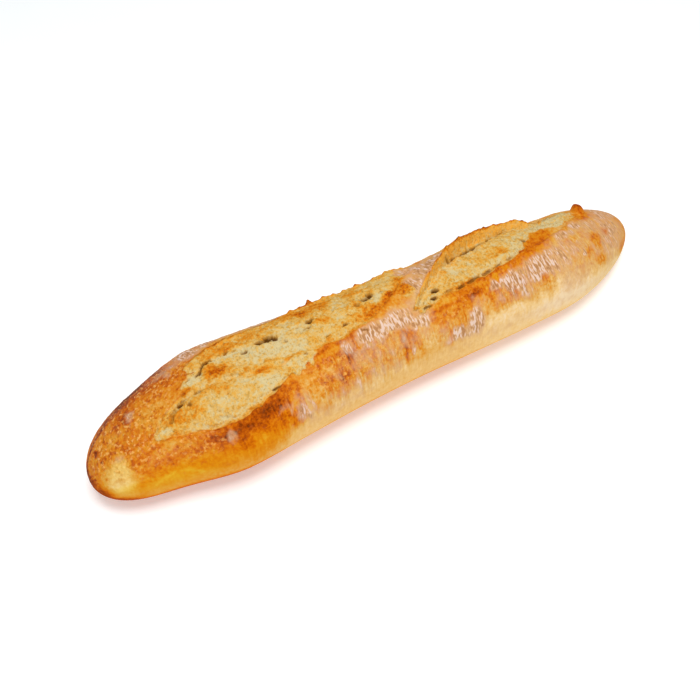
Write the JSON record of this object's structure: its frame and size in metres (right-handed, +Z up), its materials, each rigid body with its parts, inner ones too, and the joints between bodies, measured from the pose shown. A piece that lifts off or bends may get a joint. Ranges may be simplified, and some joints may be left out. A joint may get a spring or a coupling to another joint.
{
  "type": "baguette",
  "caption": "Short crusty bread stick with slanting slashes along its top, pale crumb showing between golden lips, lying on its flat bottom.",
  "frame": {"origin": "on the surface the loaf rests on, below the middle of its bounding box", "axes": "+X along the loaf from the near tip to the far tip, +Y towards its back, +Z up"},
  "size_m": [0.34, 0.0688, 0.0537],
  "materials": {
    "crust": "baked crust, golden orange to pale cream, half matt with a slight shine and a dust of flour"
  },
  "bodies": {
    "root": {"loaf": "crust"}
  },
  "joints": []
}
